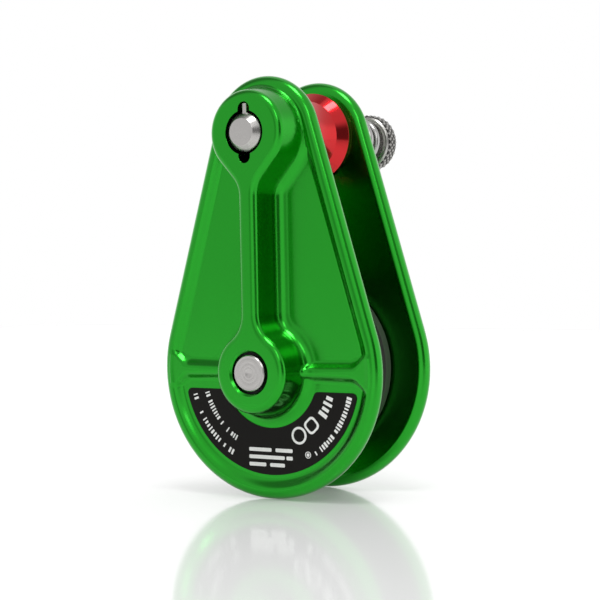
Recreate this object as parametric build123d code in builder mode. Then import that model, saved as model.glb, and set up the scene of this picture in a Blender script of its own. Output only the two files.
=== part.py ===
from build123d import *
import os
from math import cos, radians, sin, sqrt, tan

os.makedirs("parts", exist_ok=True)

# Rope pulley: two teardrop cheeks, a sheave on an axle below, a rope bollard and a
# spring-loaded locking pin above. All sizes are in millimetres.
# Frame: origin on the axle axis midway between the cheeks, +Z up to the pin, and the
# front cheek towards -Y. The axle and the locking pin both lie along Y.

# Driving dimensions of the cheeks
pin_height = 70.0  # axle axis to locking pin axis
cheek_spacing = 28.3  # between the middle planes of the two cheek plates
plate_thickness = 5.5
edge_radius = 2.7  # nearly half the plate, so its rim is fully rounded
bottom_radius = 37.9
top_radius = 18.2
top_centre_drop = 1.0  # centre of the top arc below the pin axis
boss_stand = 11.8  # boss face out from the plate's middle plane

# Relief on the outer face of a cheek
rim_width = 3.3
pocket_depth = 2.0
pocket_draft = 50.0  # degrees
boss_radius = 12.0
spine_half_width = 3.9
flank_angle = 41.0  # straight flank under the upper boss, from the vertical, degrees
upper_waist_radius = 8.0
lower_waist_radius = 9.0
spine_edge_radius = 2.1
skirt_reach = 2.4  # sloping foot round the spine
skirt_height = 2.2
skirt_draft = 45.0  # degrees
rib_half_height = 2.8
rib_end_half_height = 5.6
rib_flare_start = 29.4
rib_draft = 43.0  # degrees
rib_rim_overlap = 1.0  # how far the rib runs into the rim

# Bores of the cheeks
axle_radius = 6.1
running_gap = 0.07
pin_radius = 5.65
pin_bore_radius = 6.5
slot_width = 4.0
slot_reach = 8.95  # from the pin axis to the slot's round end
bore_chamfer = 0.6  # outer end of the axle's bore
bore_chamfer_angle = 45.0  # degrees

# Axle, rings, washers and sheave
axle_end_radius = 5.3
axle_end_recess = 0.1  # end face below the boss face
axle_end_length = 3.2
axle_end_chamfer = 0.3
axle_centre_radius = 0.9  # turning centre in each end face
axle_centre_depth = 0.6
ring_width = 0.9
ring_radius = 7.1
ring_groove_slack = 0.05
washer_radius = 12.5
washer_thickness = 0.6
washer_gap = 0.05  # washer to cheek
sheave_radius = 27.0
sheave_width = 21.2
sheave_edge_chamfer = 0.4
groove_root_radius = 19.0
groove_radius = 6.75  # for rope up to 13
groove_arc_rise = 5.5  # where the groove's arc ends, above its root
groove_mouth = 7.2  # half width of the groove at the flange edge
web_depth = 3.0
web_inner_radius = 13.6
web_outer_radius = 20.0
bush_wall = 1.9
bush_flange_radius = 11.0
bush_flange_thickness = 1.0
bush_end_gap = 1.0  # between the two bushes
press_gap = 0.02  # same-body fits are drawn this far apart

# Bollard, sleeve and guide
bollard_flange_radius = 13.7
bollard_lip = 0.9
bollard_waist_radius = 9.6
bollard_cone_radius = 11.15  # where a flange's cone meets the waist's long arc
bollard_cone_place = 7.5  # and its distance from the middle, along Y
bollard_gap = 0.2  # bollard to front cheek
bollard_slot_depth = 8.2
sleeve_bore_radius = 5.72
sleeve_radius = 7.3
sleeve_start = -2.5  # along Y
guide_length = 4.0
guide_bore_radius = 4.47
guide_flange_radius = 8.0
guide_flange_thickness = 0.8

# Locking pin, knob and spring
pin_tip_stand = 1.5  # tip beyond the front boss face
pin_tip_chamfer = 1.65
pin_tip_chamfer_length = 1.95
pin_shoulder = 3.0  # where the pin steps down to its stem, along Y
stem_radius = 4.4
cross_pin_radius = 0.9
cross_pin_reach = 8.55  # from the pin axis
cross_pin_root = 3.0  # its inner end beyond the pin axis
cross_pin_depth = 1.05  # its axis below the front boss face
cross_pin_end_radius = 0.3
knob_radius = 9.15
knob_stand = 23.25  # rear face beyond the back boss face
knob_width = 5.55
knob_chamfer = 0.7
knob_neck_radius = 5.1  # fits inside the spring's last coil
knob_neck_length = 1.4
knob_dish_radius = 5.4
knob_dish_depth = 0.8
knob_pin_radius = 1.0
knob_pin_recess = 0.5  # its ends below the knob's rim
spring_washer_radius = 7.2
spring_washer_thickness = 0.6
spring_radius = 7.5
spring_wire = 2.2
spring_turns = 3.5
spring_end_gap = 0.05

# Labels
label_radius = 30.8
label_inner_radius = 16.9
label_top = -5.8  # straight upper ends, along Z
label_corner_radius = 1.5
label_thickness = 0.25

# Places along Y, worked out
plate_mid = cheek_spacing / 2
plate_inner = plate_mid - plate_thickness / 2
plate_outer = plate_mid + plate_thickness / 2
pocket_floor = plate_outer - pocket_depth
boss_face = plate_mid + boss_stand
axle_end = boss_face - axle_end_recess
axle_shoulder = axle_end - axle_end_length
knob_back = boss_face + knob_stand
knob_front = knob_back - knob_width
neck_front = knob_front - knob_neck_length
spring_back = knob_front - spring_washer_thickness
spring_front = boss_face + guide_flange_thickness
cross_pin_place = -(boss_face - cross_pin_depth)
top_centre = pin_height - top_centre_drop
pin_axis = Axis((0, 0, pin_height), (0, 1, 0))
bore_radius = axle_radius + running_gap
bush_radius = axle_radius + bush_wall


def save(piece, name):
    piece.label = name
    export_step(piece, "parts/" + name + ".step")


def teardrop(plane, inset):
    """A cheek's outline, moved inwards by inset."""
    with BuildSketch(plane) as outline:
        Circle(bottom_radius - inset)
        with Locations((0, top_centre)):
            Circle(top_radius - inset)
        make_hull()
    return outline.sketch


def spine_outline(plane, grow=0):
    """Two round bosses joined by a narrow spine with concave flanks."""
    angle = radians(flank_angle)
    flank_x = boss_radius * cos(angle)
    flank_z = pin_height - boss_radius * sin(angle)
    corner_z = flank_z - (flank_x - spine_half_width) / tan(angle)
    setback = upper_waist_radius * tan(angle / 2)
    bend = (spine_half_width + setback * sin(angle), corner_z + setback * cos(angle))
    reach = boss_radius + lower_waist_radius
    low_x = spine_half_width + lower_waist_radius
    low_z = sqrt(reach**2 - low_x**2)
    touch = (low_x * boss_radius / reach, low_z * boss_radius / reach)
    straight_top = (spine_half_width, corner_z - setback)
    straight_foot = (spine_half_width, low_z)
    with BuildSketch(plane) as outline:
        with BuildLine():
            ThreePointArc(
                (0, pin_height + boss_radius), (boss_radius, pin_height), (flank_x, flank_z)
            )
            Line((flank_x, flank_z), bend)
            TangentArc(bend, straight_top, tangent=(-sin(angle), -cos(angle)))
            Line(straight_top, straight_foot)
            TangentArc(straight_foot, touch, tangent=(0, -1))
            ThreePointArc(touch, (boss_radius, 0), (0, -boss_radius))
            Line((0, -boss_radius), (0, pin_height + boss_radius))
        make_face()
        mirror(about=Plane.YZ)
        if grow:
            offset(amount=grow)
    return outline.sketch


def rib_outline(plane):
    """The level rib through the lower boss, which widens at the rim."""
    reach = bottom_radius - rim_width + rib_rim_overlap
    with BuildSketch(plane) as outline:
        with BuildLine():
            Polyline(
                (0, rib_half_height),
                (rib_flare_start, rib_half_height),
                (reach, rib_end_half_height),
                (reach, -rib_end_half_height),
                (rib_flare_start, -rib_half_height),
                (0, -rib_half_height),
                close=True,
            )
        make_face()
        mirror(about=Plane.YZ)
    return outline.sketch


def cheek_blank():
    """The front cheek without its bores: rounded plate, pockets, rib, spine and bosses."""
    floor = Plane.XZ.offset(pocket_floor)
    with BuildPart() as plate:
        extrude(teardrop(Plane.XZ.offset(plate_inner), 0), amount=plate_thickness)
        faces_apart = plate.edges().group_by(Axis.Y)
        fillet(faces_apart[0] + faces_apart[-1], radius=edge_radius)
        extrude(
            teardrop(Plane.XZ.offset(plate_outer), rim_width),
            amount=-pocket_depth,
            taper=pocket_draft,
            mode=Mode.SUBTRACT,
        )
        extrude(rib_outline(floor), amount=pocket_depth, taper=rib_draft)
    with BuildPart() as skirt:
        extrude(
            spine_outline(floor, skirt_reach),
            amount=skirt_height,
            taper=skirt_draft,
        )
        extrude(teardrop(floor, rim_width), amount=skirt_height, mode=Mode.INTERSECT)
    with BuildPart() as spine:
        extrude(spine_outline(Plane.XZ.offset(plate_mid)), amount=boss_stand)
        fillet(spine.edges().group_by(Axis.Y)[0], radius=spine_edge_radius)
    with BuildPart() as whole:
        add(plate.part)
        add(skirt.part)
        add(spine.part)
    return whole.part


def axle_bore(side):
    """Cuts the axle's bore, and the groove for its retaining ring, in the active cheek."""
    with BuildSketch(Plane.XZ.offset(plate_inner * side)) as bore:
        Circle(bore_radius)
    extrude(bore.sketch, amount=(boss_face - plate_inner) * side, mode=Mode.SUBTRACT)
    with BuildSketch(Plane.XZ.offset((axle_shoulder - ring_groove_slack) * side)) as groove:
        Circle(ring_radius + ring_groove_slack)
    groove_width = (ring_width + 2 * ring_groove_slack) * side
    extrude(groove.sketch, amount=groove_width, mode=Mode.SUBTRACT)
    with BuildSketch(Plane.XZ.offset(boss_face * side)) as mouth:
        Circle(bore_radius + bore_chamfer)
    extrude(
        mouth.sketch,
        amount=-bore_chamfer * side,
        taper=bore_chamfer_angle,
        mode=Mode.SUBTRACT,
    )


with BuildPart() as front_cheek:
    add(cheek_blank())
    axle_bore(1)
    with BuildSketch(Plane.XZ.offset(plate_inner)):
        with Locations((0, pin_height)):
            Circle(pin_bore_radius)
            SlotOverall(2 * slot_reach, slot_width, rotation=90)
    extrude(amount=boss_face - plate_inner, mode=Mode.SUBTRACT)

with BuildPart() as back_cheek:
    add(mirror(cheek_blank(), about=Plane.XZ))
    axle_bore(-1)
    with BuildSketch(Plane.XZ.offset(-plate_inner)):
        with Locations((0, pin_height)):
            Circle(sleeve_radius + press_gap)
    extrude(amount=plate_inner - boss_face, mode=Mode.SUBTRACT)

save(front_cheek.part, "front_cheek")
save(back_cheek.part, "back_cheek")

# Axle: stepped at both ends, with a turning centre in each end face
with BuildPart() as axle:
    with BuildSketch():
        with BuildLine():
            Polyline(
                (0, -axle_end + axle_centre_depth),
                (axle_centre_radius, -axle_end),
                (axle_end_radius - axle_end_chamfer, -axle_end),
                (axle_end_radius, -axle_end + axle_end_chamfer),
                (axle_end_radius, -axle_shoulder),
                (axle_radius, -axle_shoulder),
                (axle_radius, axle_shoulder),
                (axle_end_radius, axle_shoulder),
                (axle_end_radius, axle_end - axle_end_chamfer),
                (axle_end_radius - axle_end_chamfer, axle_end),
                (axle_centre_radius, axle_end),
                (0, axle_end - axle_centre_depth),
                close=True,
            )
        make_face()
    revolve(axis=Axis.Y)

save(axle.part, "axle")


def round_ring(name, inner, outer, start, end, centre=0):
    """A flat ring about the Y direction, from start to end along Y, at height centre."""
    with BuildPart() as ring:
        with BuildSketch(Plane.XZ.offset(-start)):
            with Locations((0, centre)):
                Circle(outer)
                Circle(inner, mode=Mode.SUBTRACT)
        extrude(amount=start - end)
    save(ring.part, name)


ring_inner = axle_end_radius + press_gap
washer_outer_face = plate_inner - washer_gap
washer_inner_face = washer_outer_face - washer_thickness
for end_name, side in (("front", -1), ("back", 1)):
    ring_span = sorted((side * axle_shoulder, side * (axle_shoulder + ring_width)))
    round_ring("axle_ring_" + end_name, ring_inner, ring_radius, *ring_span)
    washer_span = sorted((side * washer_inner_face, side * washer_outer_face))
    round_ring("thrust_washer_" + end_name, bore_radius, washer_radius, *washer_span)

# Sheave: a U groove between two flanges, webs turned down on both sides
half = sheave_width / 2
arc_end_radius = groove_root_radius + groove_arc_rise
arc_centre = groove_root_radius + groove_radius
arc_end_half = sqrt(groove_radius**2 - (arc_centre - arc_end_radius) ** 2)
with BuildPart() as sheave:
    with BuildSketch():
        with BuildLine():
            Polyline(
                (arc_end_radius, arc_end_half),
                (sheave_radius, groove_mouth),
                (sheave_radius, half - sheave_edge_chamfer),
                (sheave_radius - sheave_edge_chamfer, half),
                (bush_radius + press_gap, half),
                (bush_radius + press_gap, -half),
                (sheave_radius - sheave_edge_chamfer, -half),
                (sheave_radius, -half + sheave_edge_chamfer),
                (sheave_radius, -groove_mouth),
                (arc_end_radius, -arc_end_half),
            )
            ThreePointArc(
                (arc_end_radius, -arc_end_half),
                (groove_root_radius, 0),
                (arc_end_radius, arc_end_half),
            )
        make_face()
    revolve(axis=Axis.Y)
    for side in (1, -1):
        with BuildSketch(Plane.XZ.offset(half * side)):
            Circle(web_outer_radius)
            Circle(web_inner_radius, mode=Mode.SUBTRACT)
        extrude(amount=-web_depth * side, mode=Mode.SUBTRACT)
        with BuildSketch(Plane.XZ.offset(half * side)):
            Circle(bush_flange_radius + press_gap)
        extrude(amount=-bush_flange_thickness * side, mode=Mode.SUBTRACT)

save(sheave.part, "sheave")

for end_name, side in (("front", -1), ("back", 1)):
    with BuildPart() as bush:
        with BuildSketch(Plane.XZ.offset(-side * bush_end_gap / 2)):
            Circle(bush_radius)
        extrude(amount=-side * (half - bush_end_gap / 2))
        with BuildSketch(Plane.XZ.offset(-side * (half - bush_flange_thickness))):
            Circle(bush_flange_radius)
        extrude(amount=-side * bush_flange_thickness)
        with BuildSketch(Plane.XZ):
            Circle(bore_radius)
        extrude(amount=-side * half, mode=Mode.SUBTRACT)
    save(bush.part, "sheave_bush_" + end_name)

# Bollard: a waisted spool, slotted at the front for the cross pin
bollard_front = -(plate_inner - bollard_gap)
lip_front = bollard_front + bollard_lip
lip_back = plate_inner - bollard_lip
with BuildPart() as bollard:
    with BuildSketch(Plane((0, 0, pin_height))):
        with BuildLine():
            Line((0, bollard_front), (bollard_flange_radius, bollard_front))
            Line((bollard_flange_radius, bollard_front), (bollard_flange_radius, lip_front))
            Line((bollard_flange_radius, lip_front), (bollard_cone_radius, -bollard_cone_place))
            ThreePointArc(
                (bollard_cone_radius, -bollard_cone_place),
                (bollard_waist_radius, 0),
                (bollard_cone_radius, bollard_cone_place),
            )
            Line((bollard_cone_radius, bollard_cone_place), (bollard_flange_radius, lip_back))
            Line((bollard_flange_radius, lip_back), (bollard_flange_radius, plate_inner))
            Line((bollard_flange_radius, plate_inner), (0, plate_inner))
            Line((0, plate_inner), (0, bollard_front))
        make_face()
    revolve(axis=pin_axis)
    with BuildSketch(Plane.XZ.offset(-bollard_front)):
        with Locations((0, pin_height)):
            Circle(pin_bore_radius)
    extrude(amount=bollard_front - plate_inner, mode=Mode.SUBTRACT)
    with BuildSketch(Plane.XZ.offset(-bollard_front)):
        with Locations((0, pin_height)):
            SlotOverall(2 * slot_reach, slot_width, rotation=90)
    extrude(amount=-bollard_slot_depth, mode=Mode.SUBTRACT)
    with BuildSketch(Plane.XZ.offset(-plate_inner)):
        with Locations((0, pin_height)):
            Circle(sleeve_radius + press_gap)
    extrude(amount=plate_inner - sleeve_start, mode=Mode.SUBTRACT)

save(bollard.part, "bollard")

guide_start = boss_face - guide_length
round_ring(
    "bollard_sleeve", sleeve_bore_radius, sleeve_radius, sleeve_start, guide_start, pin_height
)

with BuildPart() as pin_guide:
    with BuildSketch(Plane.XZ.offset(-guide_start)):
        with Locations((0, pin_height)):
            Circle(sleeve_radius)
    extrude(amount=-guide_length)
    with BuildSketch(Plane.XZ.offset(-boss_face)):
        with Locations((0, pin_height)):
            Circle(guide_flange_radius)
    extrude(amount=-guide_flange_thickness)
    with BuildSketch(Plane.XZ.offset(-guide_start)):
        with Locations((0, pin_height)):
            Circle(guide_bore_radius)
    extrude(amount=-guide_length - guide_flange_thickness, mode=Mode.SUBTRACT)

save(pin_guide.part, "pin_guide")

# Locking pin: chamfered tip, thick front half, thin stem to the knob
tip = -(boss_face + pin_tip_stand)
stem_end = knob_back - knob_dish_depth
knob_pin_place = knob_front + knob_width / 2
with BuildPart() as locking_pin:
    with BuildSketch(Plane((0, 0, pin_height))):
        with BuildLine():
            Polyline(
                (0, tip),
                (pin_radius - pin_tip_chamfer, tip),
                (pin_radius, tip + pin_tip_chamfer_length),
                (pin_radius, pin_shoulder),
                (stem_radius, pin_shoulder),
                (stem_radius, stem_end),
                (0, stem_end),
                close=True,
            )
        make_face()
    revolve(axis=pin_axis)
    with Locations((0, cross_pin_place, pin_height - cross_pin_root - press_gap)):
        Cylinder(
            cross_pin_radius + press_gap,
            cross_pin_root + cross_pin_reach,
            align=(Align.CENTER, Align.CENTER, Align.MIN),
            mode=Mode.SUBTRACT,
        )
    with Locations((0, knob_pin_place, pin_height)):
        Cylinder(knob_pin_radius + press_gap, 2 * pin_radius, mode=Mode.SUBTRACT)

save(locking_pin.part, "locking_pin")

with BuildPart() as cross_pin:
    with Locations((0, cross_pin_place, pin_height - cross_pin_root)):
        Cylinder(
            cross_pin_radius,
            cross_pin_root + cross_pin_reach,
            align=(Align.CENTER, Align.CENTER, Align.MIN),
        )
    fillet(cross_pin.edges().group_by(Axis.Z)[0], radius=cross_pin_end_radius)
    fillet(cross_pin.edges().group_by(Axis.Z)[-1], radius=cross_pin_end_radius)

save(cross_pin.part, "cross_pin")

# Knob: a short disc with a neck towards the spring and a dished rear face
with BuildPart() as knob:
    with BuildSketch(Plane((0, 0, pin_height))):
        with BuildLine():
            Polyline(
                (stem_radius + press_gap, neck_front),
                (knob_neck_radius, neck_front),
                (knob_neck_radius, knob_front),
                (knob_radius - knob_chamfer, knob_front),
                (knob_radius, knob_front + knob_chamfer),
                (knob_radius, knob_back - knob_chamfer),
                (knob_radius - knob_chamfer, knob_back),
                (knob_dish_radius, knob_back),
                (knob_dish_radius, stem_end),
                (stem_radius + press_gap, stem_end),
                close=True,
            )
        make_face()
    revolve(axis=pin_axis)
    with Locations((0, knob_pin_place, pin_height)):
        Cylinder(knob_pin_radius + press_gap, 2 * knob_radius, mode=Mode.SUBTRACT)

save(knob.part, "knob")

with BuildPart() as knob_pin:
    with Locations((0, knob_pin_place, pin_height)):
        Cylinder(knob_pin_radius, 2 * (knob_radius - knob_pin_recess))

save(knob_pin.part, "knob_pin")

round_ring(
    "spring_washer",
    knob_neck_radius + press_gap,
    spring_washer_radius,
    spring_back,
    knob_front - press_gap,
    pin_height,
)

# Spring: an open coil round the stem
coil_radius = spring_radius - spring_wire / 2
coil_start = spring_front + spring_wire / 2 + spring_end_gap
coil_length = spring_back - spring_front - spring_wire - 2 * spring_end_gap
with BuildPart() as spring:
    with BuildLine():
        coil = Helix(
            pitch=coil_length / spring_turns,
            height=coil_length,
            radius=coil_radius,
            center=(0, coil_start, pin_height),
            direction=(0, 1, 0),
        )
    with BuildSketch(Plane(coil @ 0, z_dir=coil % 0)):
        Circle(spring_wire / 2)
    sweep(path=coil, is_frenet=True)

save(spring.part, "spring")


def label(name, side):
    """A crescent on the pocket floor round the lower boss, with level upper ends."""
    plane = Plane.XZ.offset(pocket_floor * side)
    with BuildPart() as crescent:
        with BuildSketch(plane):
            Circle(label_radius)
            Circle(label_inner_radius, mode=Mode.SUBTRACT)
            with Locations((0, label_top)):
                Rectangle(
                    2 * label_radius,
                    2 * label_radius,
                    align=(Align.CENTER, Align.MAX),
                    mode=Mode.INTERSECT,
                )
        extrude(amount=label_thickness * side)
        fillet(crescent.edges().filter_by(Axis.Y), radius=label_corner_radius)
    save(crescent.part, name)


label("front_label", 1)
label("back_label", -1)
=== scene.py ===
import math

import bmesh
import bpy
import numpy as np
from mathutils import Matrix, Vector
from mathutils.geometry import tessellate_polygon


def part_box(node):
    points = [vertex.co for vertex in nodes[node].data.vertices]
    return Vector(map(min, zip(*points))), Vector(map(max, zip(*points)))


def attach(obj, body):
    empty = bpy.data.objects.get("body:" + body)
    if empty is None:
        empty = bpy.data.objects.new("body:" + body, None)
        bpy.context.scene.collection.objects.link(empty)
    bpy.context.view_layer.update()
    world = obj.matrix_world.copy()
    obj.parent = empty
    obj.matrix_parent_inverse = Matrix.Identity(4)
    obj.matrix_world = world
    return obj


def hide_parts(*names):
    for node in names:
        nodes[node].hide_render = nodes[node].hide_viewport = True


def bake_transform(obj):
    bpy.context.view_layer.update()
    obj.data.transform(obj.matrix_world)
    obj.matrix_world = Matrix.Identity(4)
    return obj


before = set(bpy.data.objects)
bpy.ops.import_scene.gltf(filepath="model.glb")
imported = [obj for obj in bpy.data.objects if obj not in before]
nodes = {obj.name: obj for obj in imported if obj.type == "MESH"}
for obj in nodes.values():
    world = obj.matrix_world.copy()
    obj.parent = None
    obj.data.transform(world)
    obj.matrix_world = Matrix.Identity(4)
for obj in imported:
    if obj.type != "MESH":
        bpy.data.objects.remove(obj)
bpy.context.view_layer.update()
mm = 0.001


def boxMm(name):
    low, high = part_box(name)
    return np.array(low) / mm, np.array(high) / mm


# places read from the frame, in millimetres
cheekLow, cheekHigh = boxMm("front_cheek")
boltLow, boltHigh = boxMm("bollard")
knobLow, knobHigh = boxMm("knob")
plateInner = -cheekHigh[1]
bossFace = -cheekLow[1]
pinHeight = (knobLow[2] + knobHigh[2]) / 2
bottomRadius = cheekHigh[0]


def socketKey(key):
    # i6 means the socket of that number, and any other word is a socket's name
    return int(key[1:]) if key[0] == "i" and key[1:].isdigit() else key.replace("_", " ")


class Value:
    # one output socket, whose operators add Math nodes
    def __init__(self, tree, socket):
        self.tree, self.socket = tree, socket

    def maths(self, operation, *others):
        return self.tree.make("ShaderNodeMath", {"operation": operation}, self, *others)

    def beside(self, place):
        # another output of the same node
        return Value(self.tree, self.socket.node.outputs[place])

    def __add__(self, other):
        return self.maths("ADD", other)

    def __mul__(self, other):
        return self.maths("MULTIPLY", other)

    def __sub__(self, other):
        return self.maths("SUBTRACT", other)

    def __rsub__(self, other):
        return (self * -1.0) + other

    __radd__ = __add__
    __rmul__ = __mul__


class Finish:
    def __init__(self, name):
        self.material = bpy.data.materials.new(name)
        self.material.use_nodes = True
        self.hold(self.material.node_tree)

    def hold(self, tree):
        self.nodes, self.links = tree.nodes, tree.links
        self.nodes.clear()

    def put(self, socket, value):
        if isinstance(value, Value):
            self.links.new(value.socket, socket)
        else:
            socket.default_value = value

    def make(self, kind, settings, *values, out=0, **named):
        node = self.nodes.new(kind)
        for key, setting in settings.items():
            if key == "stops":
                ramp = node.color_ramp
                while len(ramp.elements) < len(setting):
                    ramp.elements.new(0.5)
                for element, (place, colour) in zip(ramp.elements, setting):
                    element.position, element.color = place, colour
            else:
                setattr(node, key, setting)
        for place, value in enumerate(values):
            self.put(node.inputs[place], value)
        for key, value in named.items():
            self.put(node.inputs[socketKey(key)], value)
        return Value(self, node.outputs[out]) if node.outputs else None

    def surface(self, **named):
        shader = self.make("ShaderNodeBsdfPrincipled", {}, **named)
        self.make("ShaderNodeOutputMaterial", {}, Surface=shader)
        return self.material

    def place(self):
        return self.make("ShaderNodeTexCoord", {}, out="Object")

    def noise(self, scale, detail=3.0, stretch=(1, 1, 1)):
        where = self.make("ShaderNodeMapping", {}, self.place(), Scale=stretch)
        return self.make("ShaderNodeTexNoise", {}, Vector=where, Scale=scale, Detail=detail)

    def mix(self, amount, first, second):
        return self.make("ShaderNodeMix", {"data_type": "RGBA"}, amount, i6=first, i7=second, out=2)

    def bump(self, height, strength, distance):
        return self.make("ShaderNodeBump", {}, Strength=strength, Distance=distance, Height=height)


def shaded(colour, share):
    return tuple(c * share for c in colour[:3]) + (1.0,)


# scales of the noises, how far each one mixes the colours or adds roughness,
# and the strength and depth of the bump
anodising = {"cloud": 60.0, "grain": 2600.0, "mottle": 0.6, "cloudRough": 0.04, "grainRough": 0.05,
             "coatRough": 0.8, "bump": (0.03, 0.00002)}
turning = {"cloud": 180.0, "mottle": 0.7, "tint": 0.8, "stretch": (0.02, 1.0, 0.02), "lineRough": 0.15,
           "bump": (0.12, 0.00003)}
coating = {"mottle": 0.5, "tint": 1.4, "grainRough": 0.12, "bump": (0.08, 0.00002)}


def anodised(name, colour, roughness, tint, coat):
    finish = Finish(name)
    cloud = finish.noise(anodising["cloud"])
    grain = finish.noise(anodising["grain"], detail=2.0)
    return finish.surface(
        Base_Color=finish.mix(cloud * anodising["mottle"], colour, shaded(colour, tint)),
        Metallic=1.0,
        Roughness=grain * anodising["grainRough"] + cloud * anodising["cloudRough"] + roughness,
        Coat_Weight=coat,
        Coat_Roughness=roughness * anodising["coatRough"],
        Normal=finish.bump(grain, *anodising["bump"]),
    )


def turned(name, colour, roughness, pitch):
    finish = Finish(name)
    cloud = finish.noise(turning["cloud"])
    lines = finish.noise(pitch, detail=2.0, stretch=turning["stretch"])
    return finish.surface(
        Base_Color=finish.mix(cloud * turning["mottle"], colour, shaded(colour, turning["tint"])),
        Metallic=1.0,
        Roughness=lines * turning["lineRough"] + roughness,
        Normal=finish.bump(lines, *turning["bump"]),
    )


def plain(name, colour, roughness, scale, shine, metallic=0.0):
    finish = Finish(name)
    grain = finish.noise(scale)
    return finish.surface(
        Base_Color=finish.mix(grain * coating["mottle"], colour, shaded(colour, coating["tint"])),
        Metallic=metallic,
        Roughness=grain * coating["grainRough"] + roughness,
        Specular_IOR_Level=shine,
        Normal=finish.bump(grain, *coating["bump"]),
    )


green = anodised("greenAnodised", (0.006, 0.36, 0.009, 1), roughness=0.17, tint=0.9, coat=0.5)
red = anodised("redAnodised", (0.62, 0.004, 0.008, 1), roughness=0.1, tint=0.88, coat=0.7)
steel = turned("turnedSteel", (0.56, 0.545, 0.53, 1), roughness=0.18, pitch=3000.0)
springSteel = turned("springSteel", (0.5, 0.495, 0.485, 1), roughness=0.12, pitch=1500.0)
# a nearly black turned steel, given to the axle rings
nearBlackSteel = turned("nearBlackSteel", (0.03, 0.03, 0.032, 1), roughness=0.4, pitch=2000.0)
bronze = turned("bronze", (0.45, 0.28, 0.12, 1), roughness=0.32, pitch=2500.0)
grey = plain("greyAnodised", (0.075, 0.072, 0.07, 1), roughness=0.34, scale=1800.0, shine=0.5, metallic=0.35)
black = plain("washerPlastic", (0.02, 0.02, 0.021, 1), roughness=0.45, scale=2500.0, shine=0.4)
vinyl = plain("labelVinyl", (0.007, 0.0062, 0.0055, 1), roughness=0.3, scale=3500.0, shine=0.12)
ink = plain("labelInk", (0.8, 0.8, 0.79, 1), roughness=0.42, scale=3000.0, shine=0.3)

knurling = {
    # the nearly black colour is painted shade for the knurl's hollows; the bright one is the steel's own
    # colour
    "paintedShade": (0.03, 0.03, 0.028, 1),
    "bright": (0.5, 0.49, 0.47, 1),
    "depths": (0.4, 0.1),  # below the knob's radius, where it is darkest and brightest
    "frontFace": 1.9,  # bright from the front end to here
    "backFace": 0.6,  # and from here to the back end
    "grain": 2500.0,
    "grainRough": 0.15,
    "roughness": 0.22,
}


def knurled():
    # steel points, with shade painted into the hollows where the diamonds meet
    finish = Finish("knurledSteel")
    x = finish.make("ShaderNodeSeparateXYZ", {}, finish.place())
    y, z = x.beside(1), x.beside(2) - pinHeight * mm
    radius = (x * x + z * z).maths("SQRT")
    darkest, brightest = ((knobHigh[0] - depth) * mm for depth in knurling["depths"])
    # painted shade: the colour goes nearly black with depth below the knob's radius, and both end bands keep
    # the steel's colour
    clearOfShade = finish.make("ShaderNodeMapRange", {}, radius, darkest, brightest)
    front = (y * -1.0 + (knobLow[1] + knurling["frontFace"]) * mm).maths("GREATER_THAN", 0.0)
    back = (y - (knobHigh[1] - knurling["backFace"]) * mm).maths("GREATER_THAN", 0.0)
    bright = clearOfShade.maths("MAXIMUM", front).maths("MAXIMUM", back)
    lines = finish.noise(knurling["grain"], detail=2.0)
    return finish.surface(
        Base_Color=finish.mix(bright, knurling["paintedShade"], knurling["bright"]),
        Metallic=1.0,
        Roughness=lines * knurling["grainRough"] + knurling["roughness"],
    )


knurledSteel = knurled()
print("materials made")


class Build:
    # points in millimetres and the faces between them
    def __init__(self):
        self.points, self.faces = [], []

    def row(self, points):
        start = len(self.points)
        self.points.extend(tuple(float(c) for c in p) for p in points)
        return range(start, len(self.points))

    def bridge(self, first, second):
        count = len(first)
        for i in range(count):
            j = (i + 1) % count
            self.faces.append((first[i], first[j], second[j], second[i]))

    def cap(self, *loops):
        flat = [index for loop in loops for index in loop]
        outlines = [[Vector(self.points[index]) for index in loop] for loop in loops]
        for triangle in tessellate_polygon(outlines):
            self.faces.append(tuple(flat[i] for i in triangle))

    def finish(self, name, material, body, slot, replaced=(), smooth=40.0):
        mesh = bpy.data.meshes.new(name)
        mesh.from_pydata([[c * mm for c in p] for p in self.points], [], self.faces)
        return dress(mesh, name, material, body, replaced, smooth)


def dress(mesh, name, material, body, replaced=(), smooth=40.0, mergeGap=1e-7):
    shape = bmesh.new()
    shape.from_mesh(mesh)
    bmesh.ops.remove_doubles(shape, verts=shape.verts, dist=mergeGap)
    bmesh.ops.recalc_face_normals(shape, faces=shape.faces)
    shape.to_mesh(mesh)
    shape.free()
    mesh.materials.clear()
    mesh.materials.append(material)
    mesh.shade_smooth()
    mesh.set_sharp_from_angle(angle=math.radians(smooth))
    piece = bpy.data.objects.new(name, mesh)
    bpy.context.scene.collection.objects.link(piece)
    weighting = piece.modifiers.new("weighting", "WEIGHTED_NORMAL")
    weighting.keep_sharp = True
    bpy.context.view_layer.update()
    graph = bpy.context.evaluated_depsgraph_get()
    piece.data = bpy.data.meshes.new_from_object(piece.evaluated_get(graph))
    piece.data.name = name
    piece.modifiers.clear()
    if body:
        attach(piece, body)
    if replaced:
        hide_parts(*replaced)
    return piece


def rounded(profile, radius, steps=5, mostOfEdge=0.45, flatHalfAngle=84):
    # each inner corner of an open profile becomes an arc, unless it is nearly flat
    done = [np.array(profile[0], float)]
    for before, corner, after in zip(profile, profile[1:], profile[2:]):
        corner = np.array(corner, float)
        back, ahead = np.array(before) - corner, np.array(after) - corner
        reach = min(np.linalg.norm(back), np.linalg.norm(ahead)) * mostOfEdge
        back, ahead = back / np.linalg.norm(back), ahead / np.linalg.norm(ahead)
        half = math.acos(max(-1, min(1, float(back @ ahead)))) / 2
        if half > math.radians(flatHalfAngle):
            done.append(corner)
            continue
        trim = min(radius / math.tan(half), reach)
        for step in range(steps + 1):
            t = step / steps
            start, end = corner + back * trim, corner + ahead * trim
            done.append((1 - t) ** 2 * start + 2 * t * (1 - t) * corner + t * t * end)
    done.append(np.array(profile[-1], float))
    return done


def roundedLoop(profile, radius, steps):
    return rounded(profile + profile[:2], radius, steps)[1:-1]


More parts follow.
